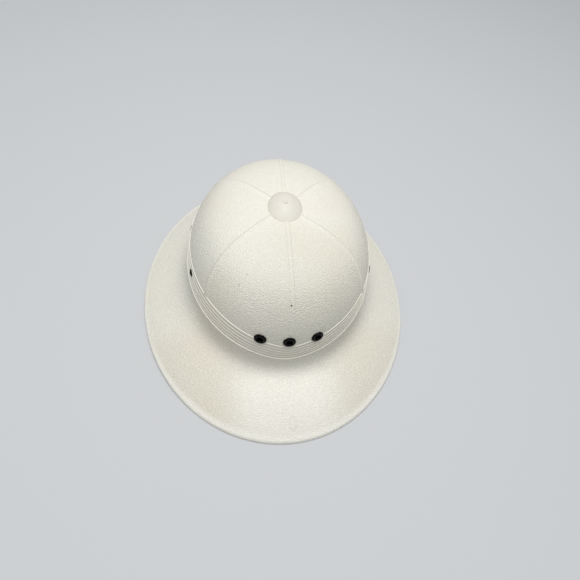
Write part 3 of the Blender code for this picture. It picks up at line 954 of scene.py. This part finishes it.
def with_painted_shade_and_highlights(tree, tint, spot):
    """The tint with painted shade on the crown's front and beside the brim's middle, and painted highlights
    on the brim's middle and along the rim.
    """
    across = ramped(tree, off_middle(tree, spot), *FRONT_SHADE_ACROSS)
    along = ramped(tree, spot["Y"], *FRONT_SHADE_ALONG)
    upwards = ramped(tree, spot["Z"], *FRONT_SHADE_LEVELS, 0.0, FRONT_SHADE_SHARE)
    tint = blend(tree, product(tree, across, along, upwards), tint, FRONT_SHADE)
    middle = ramped(tree, calc(tree, "ABSOLUTE", spot["X"]), *BRIM_HIGHLIGHT_ACROSS)
    on_brim = ramped(tree, spot["Z"], *BRIM_LEVELS)
    along = ramped(tree, spot["Y"], *BRIM_HIGHLIGHT_ALONG)
    fading = ramped(tree, spot["Y"], *BRIM_HIGHLIGHT_FADING, *BRIM_HIGHLIGHT_SHARES)
    tint = blend(tree, product(tree, middle, along, fading, on_brim), tint, HIGHLIGHT_TINT)
    beside = calc(tree, "SUBTRACT", 1.0, middle)
    along = ramped(tree, spot["Y"], *BRIM_SHADE_ALONG, 0.0, BRIM_SHADE_SHARE)
    tint = blend(tree, product(tree, beside, on_brim, along), tint, BRIM_SHADE)
    return blend(tree, ramped(tree, spot["Z"], *RIM_HIGHLIGHT_LEVELS, 0.0, RIM_HIGHLIGHT_SHARE), tint, HIGHLIGHT_TINT)


# The four tints above are painted shade and painted highlights.
print("marks of hands: dulled, wiped, stained, rubbed")

# %% Scuff and specks
SCUFF = {"place": (0.0046, -0.1425, 0.0121), "half_size": (0.0030, 0.0052), "edge": 0.28, "strength": 0.24}
SCUFF_SLOPE = 0.453
SCUFF_DEPTH = 0.0012
SPECK = (0.03, 0.027, 0.022, 1.0)
SPECKS = (
    {"place": (-0.0001, -0.0759, 0.1054), "radius": 0.0011, "strength": 0.95},
    {"place": (-0.0406, -0.0573, 0.1083), "radius": 0.0006, "strength": 0.6},
    {"place": (-0.0342, -0.0519, 0.1150), "radius": 0.0006, "strength": 0.5},
)
SPECK_CORE = 0.6


def with_scuff(tree, tint, spot):
    """The tint with the outline of an oval, on the brim's outer face alone."""
    off = {axis: calc(tree, "SUBTRACT", spot[axis], at) for axis, at in zip("XYZ", SCUFF["place"])}
    shares = {axis: calc(tree, "DIVIDE", off[axis], half) for axis, half in zip("XY", SCUFF["half_size"])}
    oval = add(tree, "ShaderNodeCombineXYZ", shares).outputs[0]
    reach = add(tree, "ShaderNodeVectorMath", {0: oval}, operation="LENGTH").outputs["Value"]
    off_outline = calc(tree, "ABSOLUTE", calc(tree, "SUBTRACT", reach, 1.0))
    outline = ramped(tree, off_outline, SCUFF["edge"], 0.0)
    slope = product(tree, off["Y"], SCUFF_SLOPE)
    outside = calc(tree, "COMPARE", calc(tree, "SUBTRACT", off["Z"], slope), 0.0, SCUFF_DEPTH)
    return blend(tree, product(tree, outline, outside, SCUFF["strength"]), tint, DIRT_AND_SHADE)


def with_specks(tree, tint, place):
    """The tint with small dark specks at their places on the crown."""
    for speck in SPECKS:
        ends = {0: place, 1: speck["place"]}
        away = add(tree, "ShaderNodeVectorMath", ends, operation="DISTANCE").outputs["Value"]
        mask = ramped(tree, away, SPECK_CORE * speck["radius"], speck["radius"], speck["strength"], 0.0)
        tint = blend(tree, mask, tint, SPECK)
    return tint


ivory_tree = ivory.node_tree
shell_place = object_place(ivory_tree)
shell_spot = axes(ivory_tree, shell_place)
marked = with_relief_shade_and_highlight(ivory_tree, ivory_tint, shell_spot)
marked = with_painted_shade_and_highlights(ivory_tree, marked, shell_spot)
marked = with_scuff(ivory_tree, marked, shell_spot)
marked = with_specks(ivory_tree, marked, shell_place)
ivory_tree.links.new(marked, ivory_shader.inputs["Base Color"])
print("specks:", len(SPECKS), "and one scuff")

# %% [markdown]
# ## The finished shell
#
# The relief tree is put on the grid as a modifier, with its inputs set by their identifiers. A
# Boolean modifier then opens the seven holes for the eyelets' barrels. The evaluated result becomes
# the piece's own mesh, so nothing live is left on it.

# %% Helpers that finish a piece
SHARP_EDGE = math.radians(40)


def set_input(modifier, name, value):
    """Set a Geometry Nodes modifier's input by the identifier of its named socket."""
    items = modifier.node_group.interface.items_tree
    sockets = [item for item in items if item.item_type == "SOCKET" and item.in_out == "INPUT"]
    modifier[next(item.identifier for item in sockets if item.name == name)] = value


def settled(item):
    """Give an object the plain mesh that its modifiers make, and take the modifiers off."""
    graph = bpy.context.evaluated_depsgraph_get()
    graph.update()
    evaluated = item.evaluated_get(graph)
    made = bpy.data.meshes.new_from_object(evaluated, preserve_all_data_layers=True, depsgraph=graph)
    item.modifiers.clear()
    before, item.data = item.data, made
    name = before.name
    bpy.data.meshes.remove(before)
    made.name = name


def turned(profile, sides, closed):
    """A bmesh turned about Z from (radius, height) pairs in millimetres, poles included."""
    mesh = bmesh.new()
    rings = []
    for radius, height in profile:
        turns = [math.tau * side / sides for side in range(1 if radius == 0 else sides)]
        corners = [Vector((radius * math.cos(turn), radius * math.sin(turn), height)) for turn in turns]
        rings.append([mesh.verts.new(corner * MM) for corner in corners])
    for above, below in zip(rings, rings[1:] + (rings[:1] if closed else [])):
        for side in range(sides):
            steps = ((above, side), (below, side), (below, side + 1), (above, side + 1))
            corners = [ring[step % sides % len(ring)] for ring, step in steps]
            mesh.faces.new(list(dict.fromkeys(corners)))
    bmesh.ops.recalc_face_normals(mesh, faces=mesh.faces)
    return mesh


def finished_mesh(mesh, name):
    """A bmesh as a smooth-shaded mesh that keeps its sharp edges."""
    data = bpy.data.meshes.new(name)
    mesh.to_mesh(data)
    mesh.free()
    data.shade_smooth()
    data.set_sharp_from_angle(angle=SHARP_EDGE)
    return data


print("sharp edges from", round(math.degrees(SHARP_EDGE)), "degrees")

# %% Drills for the eyelets' holes
GAP = 0.3
OVERCUT = 6.0
DRILL_SIDES = 28
EYELET_BARREL_RADIUS = 3.6

cutters = bmesh.new()
for name, facing in eyelet_frames.items():
    hole = EYELET_BARREL_RADIUS * EYELETS[name]["scale"] + GAP
    profile = ((0, OVERCUT), (hole, OVERCUT), (hole, -WALL - OVERCUT), (0, -WALL - OVERCUT))
    drill = turned(profile, DRILL_SIDES, False)
    drill.transform(facing)
    data = bpy.data.meshes.new("drill")
    drill.to_mesh(data)
    drill.free()
    cutters.from_mesh(data)
    bpy.data.meshes.remove(data)
drill_data = bpy.data.meshes.new("drills")
cutters.to_mesh(drill_data)
cutters.free()
drills = in_scene("drills", drill_data)
print("drills:", len(drill_data.polygons), "faces")

# %% Apply the relief and open the holes
SHARP_LEDGE = math.radians(33)

raised = shell.modifiers.new("moulded relief", "NODES")
raised.node_group = relief
for name, size in RELIEF_SIZES.items():
    set_input(raised, name, size)
set_input(raised, "Material", ivory)
holes = shell.modifiers.new("eyelet holes", "BOOLEAN")
holes.operation = "DIFFERENCE"
holes.solver = "EXACT"
holes.object = drills
settled(shell)
shell.data.set_sharp_from_angle(angle=SHARP_LEDGE)
bpy.data.objects.remove(drills)
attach(shell, BODY)
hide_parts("shell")
print("shell:", sum(len(face.vertices) - 2 for face in shell.data.polygons), "triangles")

# %% [markdown]
# ## The top button
#
# The button is a low dome, a little longer than it is wide, with a small pip left by the mould's gate.
# It is a turned piece, so its outline is drawn once and spun, by the CAD solid's rule made a little
# rounder and with finer steps, and its dome is then stretched from front to back. Its edge comes right
# down to the crown, as if both were one moulding. Its stem and inner head are kept, because they show
# inside. Round its back and sides the edge is darkened with painted shade.

# %% Button outline
BUTTON_RADIUS = 14.7
BUTTON_LENGTH_RATIO = 1.156
BUTTON_BACK_STRETCH = 0.08
STRETCH_GAIN = 3.0
BUTTON_HEIGHT = 7.0
BUTTON_POWER = 1.60
BUTTON_EDGE = 0.03
BUTTON_ROWS = 28
BUTTON_SIDES = 72
PIP = ((0, 0.95), (0.6, 0.92), (1.1, 0.82), (1.5, 0.58), (1.7, 0.30), (1.78, 0.0))
STEM_RADIUS = 3.0
STEM_HEAD_RADIUS = 6.5
STEM_HEAD_HEIGHT = 1.6


def button_height_at(radius):
    """The height of the button's dome above the crown's top, at a distance from its middle."""
    return BUTTON_EDGE + (BUTTON_HEIGHT - BUTTON_EDGE) * (1 - (radius / BUTTON_RADIUS) ** BUTTON_POWER)


def button_profile():
    """The button's section, from the pip's top out, under and in to the end of the stem."""
    profile = [(radius, button_height_at(radius) + rise) for radius, rise in PIP]
    for row in range(1, BUTTON_ROWS + 1):
        radius = PIP[-1][0] + (BUTTON_RADIUS - PIP[-1][0]) * row / BUTTON_ROWS
        profile.append((radius, button_height_at(radius)))
    inner = -WALL - GAP
    profile += [(STEM_RADIUS, BUTTON_EDGE), (STEM_RADIUS, inner)]
    profile += [(STEM_HEAD_RADIUS, inner), (STEM_HEAD_RADIUS, inner - STEM_HEAD_HEIGHT)]
    return profile + [(0, inner - STEM_HEAD_HEIGHT)]


button_mesh = turned(button_profile(), BUTTON_SIDES, False)
for corner in button_mesh.verts:
    beyond_stem = (math.hypot(corner.co.x, corner.co.y) / MM - STEM_RADIUS) / (BUTTON_RADIUS - STEM_RADIUS)
    if corner.co.z > 0 and beyond_stem > 0:
        stretch = BUTTON_LENGTH_RATIO - 1 + math.copysign(BUTTON_BACK_STRETCH, corner.co.y)
        corner.co.y *= 1 + stretch * min(STRETCH_GAIN * beyond_stem, 1.0)
button_data = finished_mesh(button_mesh, "crown_button")
shares = []
for point in button_data.vertices:
    shares.append(math.hypot(point.co.x, point.co.y / BUTTON_LENGTH_RATIO) / (BUTTON_RADIUS * MM))
button_data.attributes.new("outwards", "FLOAT", "POINT").data.foreach_set("value", shares)
button_data.transform(Matrix.Translation(Vector((0, CROWN_SET_BACK, CROWN_TOP_HEIGHT)) * MM))
button = in_scene("crown_button", button_data)
print("button:", len(button_data.polygons), "faces")

# %% Button finish
BUTTON_IVORY = (0.675, 0.65, 0.57, 1.0)
BUTTON_ROUGHNESS = 0.58
BUTTON_PEBBLES_PER_METRE = 1100.0
BUTTON_GRAIN_DEPTH = 0.00007
# Painted shade on the button's outer ring, round its back and sides, weaker at the front.
RING_OUTWARDS = (0.78, 0.98)
RING_SHADE_SHARE = 0.24
RING_ALONG = (-0.004, 0.012)
RING_AT_FRONT = 0.25

button_ivory, button_shader, button_tint = moulded_plastic(
    "button_plastic", BUTTON_IVORY, BUTTON_ROUGHNESS, BUTTON_PEBBLES_PER_METRE, BUTTON_GRAIN_DEPTH)
button_tree = button_ivory.node_tree
outwards = attribute(button_tree, "outwards")
along = axes(button_tree, object_place(button_tree))["Y"]
shade_towards_back = ramped(button_tree, along, *RING_ALONG, RING_AT_FRONT, 1.0)
painted_ring_shade = product(button_tree, shade_towards_back, ramped(button_tree, outwards, *RING_OUTWARDS, 0.0, RING_SHADE_SHARE))
button_tree.links.new(blend(button_tree, painted_ring_shade, button_tint, DIRT_AND_SHADE), button_shader.inputs["Base Color"])
button_data.materials.append(button_ivory)
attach(button, BODY)
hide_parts("top_button")
print("material:", button_ivory.name)

# %% [markdown]
# ## The eyelets
#
# Three larger rings sit at the front and four smaller ones at the sides, each square to the wall. The
# two sizes differ in radius and in how far they stand off the wall, so two rings are turned in mesh
# code, and a Geometry Nodes tree puts them at points that carry their own rotation. Each ring has a
# rolled flange outside, a barrel through the wall and a flat flange inside.

# %% Eyelet outline
EYELET_STAND = {"front": 1.5, "side": 1.0}
EYELET_HOLE_RADIUS = 2.7
EYELET_HEAD_RADIUS = 4.9
EYELET_HEAD_HEIGHT = 0.7
EYELET_SIDES = 44
ROLL_STEPS = 4
ROLLED_FLANGE = ((0.0, 0.35), (0.06, 0.70), (0.22, 0.93), (0.48, 1.0), (0.80, 0.82), (0.96, 0.50))


def smooth_through(points, steps):
    """Points on a Catmull-Rom curve through the given ones."""
    padded = [points[0], *points, points[-1]]
    curve = []
    for four in zip(padded, padded[1:], padded[2:], padded[3:]):
        for step in range(steps):
            t = step / steps
            before, here = -t + 2 * t ** 2 - t ** 3, 2 - 5 * t ** 2 + 3 * t ** 3
            there, beyond = t + 4 * t ** 2 - 3 * t ** 3, t ** 3 - t ** 2
            weights = (before, here, there, beyond)
            curve.append(tuple(sum(w * p[axis] for w, p in zip(weights, four)) / 2 for axis in (0, 1)))
    return curve + [points[-1]]


def eyelet_profile(scale, stand):
    """The closed section of a ring: its radii follow the scale, and its thicknesses don't."""
    hole = EYELET_HOLE_RADIUS * scale
    edge = EYELET_RADIUS * scale
    barrel = EYELET_BARREL_RADIUS * scale
    head = EYELET_HEAD_RADIUS * scale
    curve_room = 2 * EYELET_HEAD_RADIUS ** 2 / CROWN_HALF_WIDTH
    inner = -WALL - GAP - curve_room
    flange = [(hole + out * (edge - hole), up * stand) for out, up in ROLLED_FLANGE]
    profile = smooth_through(flange + [(edge, 0.5 * GAP)], ROLL_STEPS)
    profile += [(barrel, 0.5 * GAP), (barrel, inner), (head, inner), (head, inner - EYELET_HEAD_HEIGHT)]
    return profile + [(hole, inner - EYELET_HEAD_HEIGHT)]


ring_sizes = {"front": FRONT_EYELET["scale"], "side": SIDE_EYELET["scale"]}
rings = {}
for name, scale in ring_sizes.items():
    ring_mesh = turned(eyelet_profile(scale, EYELET_STAND[name]), EYELET_SIDES, True)
    rings[name] = in_scene(name + "_ring", finished_mesh(ring_mesh, name + "_ring"))
print("rings:", {name: len(item.data.polygons) for name, item in rings.items()}, "faces")

# %% Black enamel
ENAMEL = (0.0015, 0.0015, 0.0018, 1.0)
DUSTY_ENAMEL = (0.005, 0.0048, 0.0045, 1.0)
ENAMEL_GRAINS_PER_METRE = 1800.0
DUST_ENDS = (0.45, 0.75)
ENAMEL_ROUGHNESS = (0.08, 0.16)
ENAMEL_SPECULAR = 0.08


def glossy_black():
    """Glossy black enamel with a trace of dust."""
    made, tree, shader = new_material("eyelet_black")
    grain = add(tree, "ShaderNodeGroup", node_tree=pebble_grain)
    grain.inputs["Pebbles per metre"].default_value = ENAMEL_GRAINS_PER_METRE
    mottle = grain.outputs["Mottle"]
    tint = blend(tree, ramped(tree, mottle, *DUST_ENDS), ENAMEL, DUSTY_ENAMEL)
    tree.links.new(tint, shader.inputs["Base Color"])
    tree.links.new(ramped(tree, mottle, *MOTTLE_ENDS, *ENAMEL_ROUGHNESS), shader.inputs["Roughness"])
    shader.inputs["Specular IOR Level"].default_value = ENAMEL_SPECULAR
    return made


black = glossy_black()
print("material:", black.name)


# %% Place the rings
def ring_tree():
    """Geometry Nodes that put a ring at each point, turned by the point's rotation."""
    tree, given = geometry_tree("eyelet_rings", {"Ring": ("NodeSocketObject", None)})
    shape = add(tree, "GeometryNodeObjectInfo", {"Object": given["Ring"]}).outputs["Geometry"]
    stored = {"data_type": "FLOAT_VECTOR"}
    facing = add(tree, "GeometryNodeInputNamedAttribute", {"Name": "facing"}, **stored).outputs[0]
    spin = add(tree, "FunctionNodeEulerToRotation", {0: facing}).outputs[0]
    placing = {"Points": given["Geometry"], "Instance": shape, "Rotation": spin}
    close_tree(tree, add(tree, "GeometryNodeInstanceOnPoints", placing).outputs[0], given["Material"])
    return tree


rings_tree = ring_tree()
for size, item in rings.items():
    names = [name for name in EYELETS if size in name]
    point_data = bpy.data.meshes.new(size + "_eyelets")
    point_data.from_pydata([eyelet_frames[name].translation for name in names], [], [])
    turns = [value for name in names for value in eyelet_frames[name].to_euler()]
    point_data.attributes.new("facing", "FLOAT_VECTOR", "POINT").data.foreach_set("vector", turns)
    eyelets = in_scene(size + "_eyelets", point_data)
    placer = eyelets.modifiers.new("eyelet rings", "NODES")
    placer.node_group = rings_tree
    set_input(placer, "Ring", item)
    set_input(placer, "Material", black)
    settled(eyelets)
    bpy.data.objects.remove(item)
    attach(eyelets, BODY)
    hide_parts(*names)
    print(size, "eyelets:", len(names), "rings,", len(eyelets.data.polygons), "faces")

# %% [markdown]
# ## The floor
#
# The floor is a plain pale sheet, wide enough for every view.

# %% Floor
FLOOR_HALF = 4.0
FLOOR_COLOUR = (0.52, 0.53, 0.54, 1.0)
FLOOR_ROUGHNESS = 0.9

floor_data = bpy.data.meshes.new("floor")
corners = [(x * FLOOR_HALF, y * FLOOR_HALF, 0) for x, y in ((-1, -1), (1, -1), (1, 1), (-1, 1))]
floor_data.from_pydata(corners, [], [(0, 1, 2, 3)])
floor = in_scene("floor", floor_data)
paper, _, paper_shader = new_material("pale_paper")
paper_shader.inputs["Base Color"].default_value = FLOOR_COLOUR
paper_shader.inputs["Roughness"].default_value = FLOOR_ROUGHNESS
floor_data.materials.append(paper)
print("floor:", 2 * FLOOR_HALF, "m wide")
